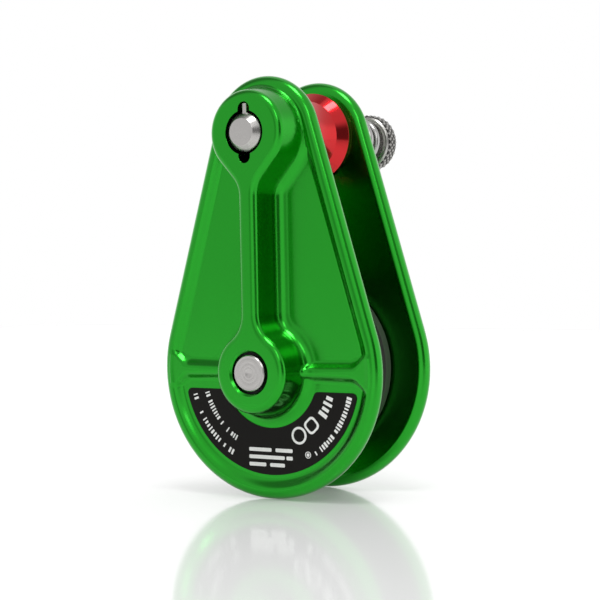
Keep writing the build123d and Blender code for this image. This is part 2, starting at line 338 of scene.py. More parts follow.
def lathed(profile, height, segments=160, closed=False):
    # profile holds (radius, place along Y); a radius of 0 closes an end
    build = Build()
    turn = np.linspace(0, 2 * math.pi, segments, endpoint=False)
    rows = []
    for radius, along in profile:
        if radius < 1e-6:
            rows.append([build.row([(0, along, height)])[0]] * segments)
        else:
            rows.append(build.row(
                [(radius * math.cos(a), along, height + radius * math.sin(a)) for a in turn]
            ))
    pairs = list(zip(rows, rows[1:])) + ([(rows[-1], rows[0])] if closed else [])
    for first, second in pairs:
        for i in range(segments):
            j = (i + 1) % segments
            face = [first[i], first[j], second[j], second[i]]
            face = [index for k, index in enumerate(face) if index != face[k - 1]]
            build.faces.append(tuple(face))
    return build


cheek = {
    "edge": 2.75,  # the plate is fully rounded at this radius
    "topRadius": 18.2,
    "topDrop": 1.0,
    "rimEnd": 6.1,  # where the rim's inner slope meets the pocket floor, from the outline
    "floor": 3.5,  # pocket floor above the inner face
    "blend": 2.6,
    "ribBlend": 1.0,
    "bossTop": 12.6,
    "bossLow": 12.0,
    "spine": 3.1,
    "flankAngle": 41.0,
    "upperWaist": 8.0,
    "lowerWaist": 9.0,
    "round": 2.3,  # edge of the spine and bosses
    "wallRun": 1.0,
    "foot": 3.6,
    "ribTop": 0.3,
    "ribRun": 2.9,
    "ribClimb": 2.6,  # the ridge climbs the boss over this height
    "ribClimbRun": 5.0,
    "ribFlare": 3.6,
    "ribFlareStart": 29.0,
    "ribFlareEnd": 33.6,
    "ribBelow": 0.1,  # its ridge lies this far below the rim
    "ribTaper": (0.02, 12.0, 20.0),  # it widens by this much per mm, from here, over this run
    "rows": {"edge": 10, "foot": 10, "floor": 20, "rim": 16, "round": 23},
    "wallSteps": (0.35, 0.7),
    "rimMargin": 0.9,  # the rim's rows start this far inside its slope
    "narrowShares": (0.6, 0.33),  # of a narrow floor, for the spine's foot and for the rim's slope
    "columnsSide": 27.0,  # columns are evenly matched this far above and below the boss's centre, in degrees
    "hole": 6.17,
    "pinHole": 6.5,
    "slotHalf": 2.0,
    "slotReach": 8.95,
    "chamfers": {"axle": 0.6, "pin": 0.05},
    "innerChamfer": 0.3,
    "ringRoom": 0.05,
}
plateThick = 2 * cheek["edge"]
topFace = bossFace - plateInner  # boss face above the inner face
topCentre = pinHeight - cheek["topDrop"]
topRadius = cheek["topRadius"]
leanSine = (bottomRadius - topRadius) / topCentre
lean = math.asin(leanSine)


def arc(centre, radius, start, end, count):
    turn = np.radians(np.linspace(start, end, count))
    return np.stack([centre[0] + radius * np.cos(turn), centre[1] + radius * np.sin(turn)], 1)


def joinParts(parts):
    whole = [parts[0]]
    for part in parts[1:]:
        whole.append(part[1:])
    return np.concatenate(whole)


def measure(line):
    steps = np.linalg.norm(np.diff(line, axis=0), axis=1)
    return np.concatenate([[0], np.cumsum(steps)])


def spineLine():
    # right half of the spine's outline from the top down, the heights between which it is straight,
    # and the angle on the lower boss where the waist meets it
    angle = math.radians(cheek["flankAngle"])
    top, low, waist = cheek["bossTop"], cheek["bossLow"], cheek["spine"]
    flank = np.array([top * math.cos(angle), pinHeight - top * math.sin(angle)])
    cornerZ = flank[1] - (flank[0] - waist) / math.tan(angle)
    setback = cheek["upperWaist"] * math.tan(angle / 2)
    bendCentre = (waist + cheek["upperWaist"], cornerZ - setback)
    reach = low + cheek["lowerWaist"]
    lowX = waist + cheek["lowerWaist"]
    lowZ = math.sqrt(reach**2 - lowX**2)
    touch = math.degrees(math.atan2(lowZ, lowX))
    parts = [
        arc((0, pinHeight), top, 90, -cheek["flankAngle"], 110),
        np.linspace(flank, arc(bendCentre, cheek["upperWaist"], 180 - cheek["flankAngle"], 180, 2)[0], 12),
        arc(bendCentre, cheek["upperWaist"], 180 - cheek["flankAngle"], 180, 30),
        np.linspace((waist, cornerZ - setback), (waist, lowZ), 80),
        arc((lowX, lowZ), cheek["lowerWaist"], 180, 180 + touch, 30),
        arc((0, 0), low, touch, -90, 110),
    ]
    return joinParts(parts), cornerZ - setback, lowZ, touch


def outlineLine():
    leanDegrees = math.degrees(lean)
    top = arc((0, topCentre), topRadius, 90, leanDegrees, 120)
    bottom = arc((0, 0), bottomRadius, leanDegrees, -90, 240)
    return joinParts([top, np.linspace(top[-1], bottom[0], 160), bottom])


spineHalf, straightTop, straightLow, touchAngle = spineLine()
outlineHalf = outlineLine()


def lengthAt(line, test):
    # length along the line to its first point that passes the test
    return measure(line)[np.argmax([test(p) for p in line])]


def spineAt(z, x=0):
    return lengthAt(spineHalf, lambda p: p[1] <= z and p[0] >= x)


def rimAt(z):
    return lengthAt(outlineHalf, lambda p: p[1] <= z and p[0] > 1)


def soften(values, window=9):
    # a running mean that keeps both ends
    before = 2 * values[0] - values[window:0:-1]
    after = 2 * values[-1] - values[-2:-window - 2:-1]
    width = 2 * window + 1
    return np.convolve(np.concatenate([before, values, after]), np.ones(width) / width, "valid")


def columns():
    # matched places down the spine's outline and the rim's outline, with columns spread between them
    angle = math.radians(cheek["flankAngle"])
    side = math.sin(math.radians(cheek["columnsSide"])) * cheek["bossLow"]
    # length along the spine, length along the rim, columns since the place above
    knots = [
        (0, 0, 0),
        (spineAt(pinHeight), rimAt(pinHeight - 1), 46),
        (spineAt(pinHeight - cheek["bossTop"] * math.sin(angle)), rimAt(pinHeight - 12), 22),
        (spineAt(straightTop), rimAt(straightTop - 4), 24),
        (spineAt(straightLow), rimAt(straightLow - 1), 52),
        (spineAt(cheek["bossLow"] * math.sin(math.radians(touchAngle))), rimAt(9.6), 18),
        (spineAt(side, 9), rimAt(side + 1.0), 12),
        (spineAt(-side, 9), rimAt(-side - 1.0), 40),
        (measure(spineHalf)[-1], measure(outlineHalf)[-1], 56),
    ]
    spinePlaces, rimPlaces = [0.0], [0.0]
    for (a, b, _), (c, d, count) in zip(knots, knots[1:]):
        spinePlaces.extend(np.linspace(a, c, count + 1)[1:])
        rimPlaces.extend(np.linspace(b, d, count + 1)[1:])
    return soften(np.array(spinePlaces)), soften(np.array(rimPlaces))


def sample(line, places):
    lengths = measure(line)
    return np.stack([np.interp(places, lengths, line[:, k]) for k in (0, 1)], 1)


def outward(line, places):
    step = 0.05
    ahead = sample(line, np.minimum(places + step, measure(line)[-1]))
    back = sample(line, np.maximum(places - step, 0))
    along = ahead - back
    along /= np.linalg.norm(along, axis=1)[:, None]
    normal = np.stack([-along[:, 1], along[:, 0]], 1)
    normal[0], normal[-1] = (0, 1), (0, -1)
    return normal


def fullLoop(half):
    # the right half and its mirror image, as one closed loop
    left = half[-2:0:-1] * np.array([-1, 1])
    return np.concatenate([half, left])


def distanceTo(line, points):
    best = np.full(len(points), 1e9)
    for a, b in zip(line[:-1], line[1:]):
        span = b - a
        t = np.clip(((points - a) @ span) / (span @ span), 0, 1)
        gap = points - (a + t[:, None] * span)
        best = np.minimum(best, np.einsum("ij,ij->i", gap, gap))
    return np.sqrt(best)


def insideRim(points):
    # depth inside the teardrop's outline
    x, z = np.abs(points[:, 0]), points[:, 1]
    along = z * math.cos(lean) - x * leanSine
    bottom = bottomRadius - np.hypot(x, z)
    flat = bottomRadius - (x * math.cos(lean) + z * leanSine)
    top = topRadius - np.hypot(x, z - topCentre)
    return np.where(along < 0, bottom, np.where(along > topCentre * math.cos(lean), top, flat))


def ease(t):
    t = np.clip(t, 0, 1)
    return 0.5 - 0.5 * np.cos(math.pi * t)


def softMax(a, b, reach):
    # the higher of two surfaces with a fillet between them, which fades out at the floor
    above = np.minimum(a, b) - cheek["floor"]
    reach = np.maximum(reach * ease(above / reach), 1e-6)
    share = np.clip(0.5 + 0.5 * (a - b) / reach, 0, 1)
    return b * (1 - share) + a * share + reach * share * (1 - share)


def spineHeight(away):
    foot, run, floor = cheek["foot"], cheek["wallRun"], cheek["floor"]
    wall = topFace - cheek["round"] - (topFace - cheek["round"] - floor - foot) * away / run
    inFoot = np.clip(foot - (away - run), 0, foot)
    fillet = floor + foot - np.sqrt(np.maximum(foot**2 - inFoot**2, 0))
    return np.where(away < run, wall, fillet)


def ribHeight(points):
    x, z = np.abs(points[:, 0]), np.abs(points[:, 1])
    flareRun = cheek["ribFlareEnd"] - cheek["ribFlareStart"]
    flare = np.clip((x - cheek["ribFlareStart"]) / flareRun, 0, 1)
    taper, taperStart, taperRun = cheek["ribTaper"]
    half = cheek["ribTop"] + taper * np.clip(x - taperStart, 0, taperRun) + cheek["ribFlare"] * flare**1.5
    near = 1 - np.clip((x - cheek["bossLow"]) / cheek["ribClimbRun"], 0, 1)
    drop = plateThick - cheek["ribBelow"] - cheek["floor"] + cheek["ribClimb"] * near**2
    return cheek["floor"] + drop * (1 - ease((z - half) / cheek["ribRun"]))


def reliefHeight(points, away):
    inside = insideRim(points)
    slope = ease((inside - cheek["edge"]) / (cheek["rimEnd"] - cheek["edge"]))
    rim = plateThick - (plateThick - cheek["floor"]) * slope
    rib, spine = ribHeight(points), spineHeight(away)
    height = softMax(rim, rib, cheek["ribBlend"])
    return softMax(spine, height, cheek["blend"])


def cheekRows():
    # closed rows of (x, height, z) from the boss face out and round to the inner face
    spinePlaces, rimPlaces = columns()
    spinePoints, rimPoints = sample(spineHalf, spinePlaces), sample(outlineHalf, rimPlaces)
    spineOut, rimOut = outward(spineHalf, spinePlaces), outward(outlineHalf, rimPlaces)
    spinePoints[0, 0] = spinePoints[-1, 0] = rimPoints[0, 0] = rimPoints[-1, 0] = 0
    rows = []

    def keep(points, heights):
        full = fullLoop(points)
        high = np.concatenate([heights, heights[-2:0:-1]])
        rows.append(np.stack([full[:, 0], high, full[:, 1]], 1))

    counts, corner, edge = cheek["rows"], cheek["round"], cheek["edge"]
    for turn in np.radians(np.linspace(0, 90, counts["edge"])):
        shift = -corner + corner * math.sin(turn)
        height = topFace - corner + corner * math.cos(turn)
        keep(spinePoints + spineOut * shift, np.full(len(spinePoints), height))
    room = np.linalg.norm(rimPoints - spinePoints, axis=1)
    footEnd = cheek["wallRun"] + cheek["foot"]
    rimStart = cheek["rimEnd"] + cheek["rimMargin"]
    spare = room - edge
    footShare, rimShare = cheek["narrowShares"]
    innerScale = np.clip(spare * footShare / footEnd, 0, 1)
    outerScale = np.clip(spare * rimShare / (rimStart - edge), 0, 1)
    footTurns = np.radians(np.linspace(0, 90, counts["foot"]))
    inner = [cheek["wallRun"] * share for share in cheek["wallSteps"]]
    inner += [cheek["wallRun"] + cheek["foot"] * (1 - math.cos(t)) for t in footTurns]
    surface = [spinePoints + spineOut * (away * innerScale)[:, None] for away in inner]
    outer = np.linspace(rimStart, edge, counts["rim"])
    outerLines = [rimPoints - rimOut * (edge + (o - edge) * outerScale)[:, None] for o in outer]
    start, end = surface[-1], outerLines[0]
    for t in np.linspace(0, 1, counts["floor"])[1:-1]:
        surface.append(start + (end - start) * t)
    surface += outerLines
    for points in surface:
        away = distanceTo(spineHalf, points)
        keep(points, reliefHeight(points, away))
    for turn in np.radians(np.linspace(90, -90, counts["round"]))[1:]:
        inset = edge - edge * math.cos(turn)
        keep(rimPoints - rimOut * inset, np.full(len(rimPoints), edge + edge * math.sin(turn)))
    return rows


def keyhole(grow):
    radius, half, reach = cheek["pinHole"] + grow, cheek["slotHalf"] + grow, cheek["slotReach"] + grow
    corner = math.degrees(math.asin(half / radius))
    side = arc((0, 0), radius, corner - 90, 90 - corner, 60)
    slotEnd = arc((0, reach - half), half, 0, 180, 20)
    top = np.concatenate([side, slotEnd])
    loop = np.concatenate([top, -top])
    return loop + np.array([0, pinHeight])


def ringLoop(radius, height, count=64):
    return arc((0, height), radius, 0, 360 - 360 / count, count)


rows = cheekRows()
print("cheek relief worked out,", len(rows), "rows of", len(rows[0]))

ringLow, ringHigh = boxMm("axle_ring_front")
ringNear = -ringLow[1] - plateInner + cheek["ringRoom"]
ringFar = -ringHigh[1] - plateInner - cheek["ringRoom"]
grooveDepth = ringHigh[0] + cheek["ringRoom"] - cheek["hole"]
boreSteps = [(0, ringNear), (grooveDepth, ringNear), (grooveDepth, ringFar), (0, ringFar)]
sleeveHole = boxMm("bollard_sleeve")[1][0] + 0.02  # with a little room


def axleHole(grow):
    return ringLoop(cheek["hole"] + grow, 0)


def sleeveBore(grow):
    return ringLoop(sleeveHole + grow, pinHeight)


def makeCheek(side, node, pinHole):
    build = Build()

    def laid(points):
        return build.row([(x, side * (plateInner + height), z) for x, height, z in points])

    surface = [laid(row) for row in rows]
    for first, second in zip(surface, surface[1:]):
        build.bridge(first, second)
    outerFace, innerFace = [surface[0]], [surface[-1]]
    inset = cheek["innerChamfer"]
    for hole, outlineOf, steps in (("axle", axleHole, boreSteps), ("pin", pinHole, [])):
        cut = cheek["chamfers"][hole]
        levels = [(cut, topFace), (0, topFace - cut)] + steps + [(0, inset), (inset, 0)]
        loops = [laid([(x, height, z) for x, z in outlineOf(grow)]) for grow, height in levels]
        for first, second in zip(loops, loops[1:]):
            build.bridge(first, second)
        outerFace.append(loops[0])
        innerFace.append(loops[-1])
    build.cap(*outerFace)
    build.cap(*innerFace)
    build.finish(node + "_shell", green, "frame", "green_anodised", [node], 32.0)


makeCheek(-1, "front_cheek", keyhole)
makeCheek(1, "back_cheek", sleeveBore)
print("cheeks made")

axle = {
    "endRadius": 5.3,
    "endLength": 3.2,
    "endChamfer": 0.3,
    "step": 0.05,
    "centreMark": [(0, 0.3), (0.5, 0.27), (1.0, 0.1), (1.25, 0.03)],  # radius, depth below the end
    "rings": (1.75, 2.9, 4.45),
    "ringHalf": (0.3, 0.1),  # half the width of a turned ring, at the face and at its bottom
    "ringDepth": 0.035,
}
axleRadius, axleEnd = boxMm("axle")[1][:2]


def axleProfile():
    # one end and its shoulder from the centre out, then the other end as its mirror image
    depth, (wide, narrow) = axle["ringDepth"], axle["ringHalf"]
    face = list(axle["centreMark"])
    for radius in axle["rings"]:
        face += [(radius - wide, 0), (radius - narrow, depth), (radius + narrow, depth), (radius + wide, 0)]
    face += [(axle["endRadius"] - axle["endChamfer"], 0), (axle["endRadius"], axle["endChamfer"])]
    half = [(radius, inset - axleEnd) for radius, inset in face]
    shoulder = axle["endLength"] - axleEnd
    half += [(axle["endRadius"], shoulder), (axleRadius, shoulder + axle["step"])]
    return half + [(radius, -y) for radius, y in reversed(half)]


lathed(axleProfile(), 0).finish("axle_turned", steel, "frame", "turned_stainless", ["axle"], 25.0)

pin = {"chamfer": 1.65, "chamferLength": 1.95, "shoulder": 3.0, "stem": 4.4, "edge": 0.18}
pinLow, pinHigh = boxMm("locking_pin")


def pinProfile():
    radius, tip, end = pinHigh[0], pinLow[1], pinHigh[1]
    return [(0, tip), (radius - pin["chamfer"], tip), (radius, tip + pin["chamferLength"]),
            (radius, pin["shoulder"]), (pin["stem"], pin["shoulder"]), (pin["stem"], end), (0, end)]


build = lathed(rounded(pinProfile(), pin["edge"]), pinHeight)
build.finish("locking_pin_turned", steel, "pin", "turned_stainless", ["locking_pin"], 35.0)

bollard = {
    "flange": boltHigh[0],
    "lip": 0.9,
    "waist": 9.6,
    "cone": (11.15, 7.5),  # radius and place where the waist's arc meets the cone
    "slotDepth": 8.2,
    "counterbore": 9.05,
    "bore": 6.5,
    "sleeveStart": -2.5,
    "edge": 0.3,
}


def bollardProfile():
    front, back = boltLow[1], boltHigh[1]
    flange, waist, (coneRadius, conePlace) = bollard["flange"], bollard["waist"], bollard["cone"]
    slotEnd, sleeveStart = front + bollard["slotDepth"], bollard["sleeveStart"]
    rise = coneRadius - waist
    radius = (rise**2 + conePlace**2) / (2 * rise)
    places = np.linspace(conePlace, -conePlace, 25)
    waistArc = [(waist + radius - math.sqrt(radius**2 - y**2), y) for y in places]
    outside = [(flange, back), (flange, back - bollard["lip"])] + waistArc
    outside += [(flange, front + bollard["lip"]), (flange, front)]
    inside = [(bollard["counterbore"], front), (bollard["counterbore"], slotEnd), (bollard["bore"], slotEnd),
              (bollard["bore"], sleeveStart), (sleeveHole, sleeveStart), (sleeveHole, back)]
    return outside + inside


build = lathed(roundedLoop(bollardProfile(), bollard["edge"], 4), pinHeight, 200, closed=True)
build.finish("bollard_turned", red, "frame", "red_anodised", ["bollard"], 35.0)
print("turned pieces made")

knob = {
    "radius": 8.7,
    "chamfer": 0.7,
    "neck": 5.1,
    "neckLength": 1.4,
    "dish": 5.4,
    "dishDepth": 0.8,
    "edge": 0.12,
    "stemRoom": 0.02,
    "teeth": 30,
    "rows": 4,
    "tooth": 0.5,
    "toothTip": 0.12,
    "toothSpread": 1.02,  # a tooth's half width, as a share of the pitch of the rows
    "toothSunk": 0.06,
}
knobFront, knobBack = knobLow[1] + knob["neckLength"], knobHigh[1]


def setInput(modifier, tree, name, value):
    for item in tree.interface.items_tree:
        if item.item_type == "SOCKET" and item.in_out == "INPUT" and item.name == name:
            modifier[item.identifier] = value


class Grower:
    def __init__(self, name, inputs):
        self.tree = bpy.data.node_groups.new(name, "GeometryNodeTree")
        self.tree.interface.new_socket("Geometry", in_out="OUTPUT", socket_type="NodeSocketGeometry")
        for key, (kind, value) in inputs.items():
            socket = self.tree.interface.new_socket(key, in_out="INPUT", socket_type=kind)
            socket.default_value = value
        self.source = self.tree.nodes.new("NodeGroupInput")
        self.sink = self.tree.nodes.new("NodeGroupOutput")

    def make(self, kind, settings, out=0, **named):
        node = self.tree.nodes.new(kind)
        for key, setting in settings.items():
            setattr(node, key, setting)
        for key, value in named.items():
            if isinstance(value, bpy.types.NodeSocket):
                self.tree.links.new(value, node.inputs[socketKey(key)])
            else:
                node.inputs[socketKey(key)].default_value = value
        return node.outputs[out]

    def given(self, name):
        return self.source.outputs[name]

    def maths(self, operation, first, second=0.0):
        return self.make("ShaderNodeMath", {"operation": operation}, i0=first, i1=second)

    def end(self, geometry, material):
        real = self.make("GeometryNodeRealizeInstances", {}, Geometry=geometry)
        done = self.make("GeometryNodeSetMaterial", {}, Geometry=real, Material=material)
        self.tree.links.new(done, self.sink.inputs[0])

    def grow(self, name, values):
        holder = bpy.data.objects.new(name + "_seed", bpy.data.meshes.new(name + "_seed"))
        bpy.context.scene.collection.objects.link(holder)
        modifier = holder.modifiers.new("grow", "NODES")
        modifier.node_group = self.tree
        for key, value in values.items():
            setInput(modifier, self.tree, key, value)
        bpy.context.view_layer.update()
        graph = bpy.context.evaluated_depsgraph_get()
        mesh = bpy.data.meshes.new_from_object(holder.evaluated_get(graph))
        bpy.data.objects.remove(holder)
        return mesh


def knobProfile():
    stem, radius, chamfer = pin["stem"] + knob["stemRoom"], knob["radius"], knob["chamfer"]
    dish, dishFloor = knob["dish"], knobBack - knob["dishDepth"]
    return [(stem, knobLow[1]), (knob["neck"], knobLow[1]), (knob["neck"], knobFront),
            (radius - chamfer, knobFront), (radius, knobFront + chamfer), (radius, knobBack - chamfer),
            (radius - chamfer, knobBack), (dish, knobBack), (dish, dishFloor), (stem, dishFloor)]


build = lathed(roundedLoop(knobProfile(), knob["edge"], 3), pinHeight, closed=True)
build.finish("knob_body", knurledSteel, "pin", "knurled_stainless", ["knob"], 30.0)


def knurl():
    grower = Grower("knurlTeeth", {
        "Around": ("NodeSocketInt", 40), "Rows": ("NodeSocketInt", 5), "Radius": ("NodeSocketFloat", 0.008),
        "Start": ("NodeSocketFloat", 0.0), "Pitch": ("NodeSocketFloat", 0.001),
        "Height": ("NodeSocketFloat", 0.07), "Tooth": ("NodeSocketFloat", 0.0004),
        "Half": ("NodeSocketFloat", 0.0006), "Tip": ("NodeSocketFloat", 0.0001),
    })
    perRow, index = grower.given("Around"), grower.make("GeometryNodeInputIndex", {})
    count = grower.maths("MULTIPLY", perRow, grower.given("Rows"))
    row = grower.maths("FLOOR", grower.maths("DIVIDE", index, perRow))
    column = grower.maths("MODULO", index, perRow)
    stagger = grower.maths("MULTIPLY", grower.maths("MODULO", row, 2.0), 0.5)
    share = grower.maths("DIVIDE", grower.maths("ADD", column, stagger), perRow)
    turn = grower.maths("MULTIPLY", share, 2 * math.pi)
    x = grower.maths("MULTIPLY", grower.maths("SINE", turn), grower.given("Radius"))
    y = grower.maths("ADD", grower.given("Start"), grower.maths("MULTIPLY", row, grower.given("Pitch")))
    up = grower.maths("MULTIPLY", grower.maths("COSINE", turn), grower.given("Radius"))
    z = grower.maths("ADD", up, grower.given("Height"))
    place = grower.make("ShaderNodeCombineXYZ", {}, X=x, Y=y, Z=z)
    angle = grower.make("ShaderNodeCombineXYZ", {}, Y=turn)
    points = grower.make("GeometryNodePoints", {}, Count=count, Position=place)
    tooth = grower.make("GeometryNodeMeshCone", {}, Vertices=4, Radius_Top=grower.given("Tip"),
                        Radius_Bottom=grower.given("Half"), Depth=grower.given("Tooth"))
    teeth = grower.make("GeometryNodeInstanceOnPoints", {}, Points=points, Instance=tooth, Rotation=angle)
    grower.end(teeth, knurledSteel)
    return grower


pitch = (knobBack - knobFront - 2 * knob["chamfer"]) / knob["rows"]
mesh = knurl().grow("knurl", {
    "Around": knob["teeth"], "Rows": knob["rows"], "Radius": (knob["radius"] - knob["toothSunk"]) * mm,
    "Start": (knobFront + knob["chamfer"] + pitch / 2) * mm, "Pitch": pitch * mm,
    "Height": pinHeight * mm, "Tooth": knob["tooth"] * mm, "Half": pitch * knob["toothSpread"] * mm,
    "Tip": knob["toothTip"] * mm,
})
dress(mesh, "knob_knurl", knurledSteel, "pin", (), 20.0)

spring = {"wire": 2.2, "radius": 7.5, "turns": 3.5, "gap": 0.05}


def coil():
    grower = Grower("springCoil", {
        "Turns": ("NodeSocketFloat", 3.5), "Radius": ("NodeSocketFloat", 0.006),
        "Length": ("NodeSocketFloat", 0.01), "Wire": ("NodeSocketFloat", 0.001),
        "Place": ("NodeSocketVector", (0, 0, 0)),
    })
    line = grower.make("GeometryNodeCurveSpiral", {}, Resolution=48, Rotations=grower.given("Turns"),
                       Start_Radius=grower.given("Radius"), End_Radius=grower.given("Radius"),
                       Height=grower.given("Length"))
    laid = grower.make("GeometryNodeTransform", {}, Geometry=line, Rotation=(-math.pi / 2, 0, 0),
                       Translation=grower.given("Place"))
    ring = grower.make("GeometryNodeCurvePrimitiveCircle", {}, Resolution=20, Radius=grower.given("Wire"))
    wire = grower.make("GeometryNodeCurveToMesh", {}, Curve=laid, Profile_Curve=ring, Fill_Caps=True)
    grower.end(wire, springSteel)
    return grower


guideBack = boxMm("pin_guide")[1][1]
washerFront = boxMm("spring_washer")[0][1]
wireRadius = spring["wire"] / 2
mesh = coil().grow("coil", {
    "Turns": spring["turns"],
    "Radius": (spring["radius"] - wireRadius) * mm,
    "Length": (washerFront - guideBack - spring["wire"] - 2 * spring["gap"]) * mm,
    "Wire": wireRadius * mm,
    "Place": (0, (guideBack + wireRadius + spring["gap"]) * mm, pinHeight * mm),
})
coilPiece = dress(mesh, "spring_coil", springSteel, None, ["spring"], 60.0)
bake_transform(coilPiece)
print("knob and spring made")

# the other nodes keep their own meshes, with these finishes
finishes = {
    "axle_ring_front": nearBlackSteel, "axle_ring_back": nearBlackSteel, "thrust_washer_front": black,
    "thrust_washer_back": black, "bollard_sleeve": steel, "pin_guide": steel, "front_label": vinyl,
    "back_label": vinyl, "sheave": grey, "sheave_bush_front": bronze, "sheave_bush_back": bronze,
    "cross_pin": steel, "knob_pin": steel, "spring_washer": steel,
}
for name, material in finishes.items():
    mesh = nodes[name].data
    mesh.materials.clear()
    mesh.materials.append(material)

# the labels' print is rows of neutral bars, rings and a square, with nothing to read
printed = {
    "thickness": 0.06,
    # count, radius, first and last angle from straight down, width, height, seed
    "rows": [(20, 23.6, -75, -31, 0.75, 1.75, 3), (20, 28.1, -74, -29, 0.8, 1.75, 8),
             (20, 28.5, 34, 75, 0.85, 1.75, 5), (4, 22.2, 56.5, 70, 1.2, 3.2, 12)],
    "gaps": 0.14,
    # centre across and up, width, height
    "bars": [(-3.6, -23.4, 8.0, 1.1), (4.8, -23.4, 6.0, 1.1), (-1.3, -25.6, 12.6, 1.1),
             (6.7, -25.6, 2.2, 1.1), (-4.6, -27.8, 6.0, 1.1), (2.4, -27.8, 5.2, 1.1)],
    "leastScale": (0.45, 1.0, 0.7),  # the shortest bar in a row, as a share of its size
    # radius, angle, outer radius, wall
    "rings": [(21.3, 28.5, 2.6, 0.7), (27.6, 28.5, 1.0, 0.22), (27.6, 28.5, 0.5, 0.5)],
    "square": (21.3, 43.0, 2.2, 0.65),
}


def printRows():
    grower = Grower("printRows", {
        "Count": ("NodeSocketInt", 12), "Radius": ("NodeSocketFloat", 0.02),
        "Start": ("NodeSocketFloat", 0.0), "End": ("NodeSocketFloat", 1.0),
        "Size": ("NodeSocketVector", (0.001, 0.0001, 0.001)), "Gaps": ("NodeSocketFloat", 0.1),
        "Level": ("NodeSocketFloat", 0.0), "Side": ("NodeSocketFloat", 1.0), "Seed": ("NodeSocketInt", 1),
    })
    count, radius, seed = (grower.given(key) for key in ("Count", "Radius", "Seed"))
    index = grower.make("GeometryNodeInputIndex", {})
    share = grower.maths("DIVIDE", index, grower.maths("SUBTRACT", count, 1.0))
    sweep = grower.maths("SUBTRACT", grower.given("End"), grower.given("Start"))
    turn = grower.maths("ADD", grower.given("Start"), grower.maths("MULTIPLY", share, sweep))
    sideways = grower.maths("MULTIPLY", grower.maths("SINE", turn), radius)
    x = grower.maths("MULTIPLY", sideways, grower.given("Side"))
    z = grower.maths("MULTIPLY", grower.maths("MULTIPLY", grower.maths("COSINE", turn), radius), -1.0)
    place = grower.make("ShaderNodeCombineXYZ", {}, X=x, Y=grower.given("Level"), Z=z)
    tilt = grower.maths("MULTIPLY", grower.maths("MULTIPLY", turn, grower.given("Side")), -1.0)
    points = grower.make("GeometryNodePoints", {}, Count=count, Position=place)
    bar = grower.make("GeometryNodeMeshCube", {}, Size=grower.given("Size"))
    kept = grower.make("FunctionNodeRandomValue", {"data_type": "BOOLEAN"}, out=3,
                       Probability=grower.maths("SUBTRACT", 1.0, grower.given("Gaps")), Seed=seed)
    scale = grower.make("FunctionNodeRandomValue", {"data_type": "FLOAT_VECTOR"},
                        i0=printed["leastScale"], i1=(1.0, 1.0, 1.0), Seed=seed)
    bars = grower.make("GeometryNodeInstanceOnPoints", {}, Points=points, Instance=bar, Selection=kept,
                       Rotation=grower.make("ShaderNodeCombineXYZ", {}, Y=tilt), Scale=scale)
    grower.end(bars, ink)
    return grower


def slab(build, loops, level, side):
    # a flat shape with holes, standing on the label's face
    faces = (level, level + side * printed["thickness"])
    lows, highs = ([build.row([(-side * x, y, z) for x, z in loop]) for loop in loops] for y in faces)
    for low, high in zip(lows, highs):
        build.bridge(low, high)
    build.cap(*lows)
    build.cap(*highs)


def squareLoop(centre, width, height, angle=0.0, cornerShare=0.3):
    corner = min(width, height) * cornerShare
    half = np.array([width, height]) / 2 - corner
    quarters = [arc((sx * half[0], sz * half[1]), corner, start, start + 90, 6)
                for sx, sz, start in ((1, 1, 0), (-1, 1, 90), (-1, -1, 180), (1, -1, 270))]
    loop = np.concatenate(quarters)
    c, s = math.cos(angle), math.sin(angle)
    return loop @ np.array([[c, s], [-s, c]]) + centre


def around(radius, degrees):
    # a place on the label, by its angle from straight down
    angle = math.radians(degrees)
    return np.array([radius * math.sin(angle), -radius * math.cos(angle)])


def printLabel(node, side):
    low, high = boxMm(node)
    level = (high if side > 0 else low)[1]
    grower = printRows()
    for number, (count, radius, start, end, width, height, seed) in enumerate(printed["rows"]):
        mesh = grower.grow("bars", {
            "Count": count, "Radius": radius * mm, "Start": math.radians(start), "End": math.radians(end),
            "Size": (width * mm, printed["thickness"] * mm, height * mm), "Gaps": printed["gaps"],
            "Level": (level + side * printed["thickness"] / 2) * mm, "Side": -side, "Seed": seed,
        })
        dress(mesh, f"{node}_row{number + 1}", ink, "frame", (), 20.0)
    build = Build()
    for x, z, width, height in printed["bars"]:
        slab(build, [squareLoop((x, z), width, height)], level, side)
    for radius, angle, outer, wall in printed["rings"]:
        loops = [ringLoop(outer, 0, 32) + around(radius, angle)]
        if wall < outer:
            loops.append(ringLoop(outer - wall, 0, 32) + around(radius, angle))
        slab(build, loops, level, side)
    radius, angle, half, wall = printed["square"]
    centre, tilt = around(radius, angle), math.radians(angle)
    slab(build, [squareLoop(centre, 2 * h, 2 * h, tilt) for h in (half, half - wall)], level, side)
    build.finish(node + "_marks", ink, "frame", "black_label", (), 20.0)


printLabel("front_label", -1)
printLabel("back_label", 1)
print("labels printed")

ground = {"size": 1.8, "gap": 0.0001, "paleness": (0.86, 0.84), "grain": 40.0, "mottle": 0.2,
          "roughness": 0.1, "glow": 0.12, "ior": 1.3}


def shade(level):
    return (level, level, level, 1)


def layFloor():
    level = cheekLow[2] * mm - ground["gap"]
    bpy.ops.mesh.primitive_plane_add(size=ground["size"], location=(0, 0, level))
    floor = bpy.context.object
    floor.name = "floor"
    finish = Finish("paleFloor")
    grain = finish.noise(ground["grain"])
    first, second = (shade(level) for level in ground["paleness"])
    floor.data.materials.append(finish.surface(
        Base_Color=finish.mix(grain * ground["mottle"], first, second), Roughness=ground["roughness"],
        Emission_Color=shade(1), Emission_Strength=ground["glow"], IOR=ground["ior"],
    ))


layFloor()


class Sky(Finish):
    def __init__(self, name):
        self.world = bpy.data.worlds.new(name)
        self.world.use_nodes = True
        self.hold(self.world.node_tree)


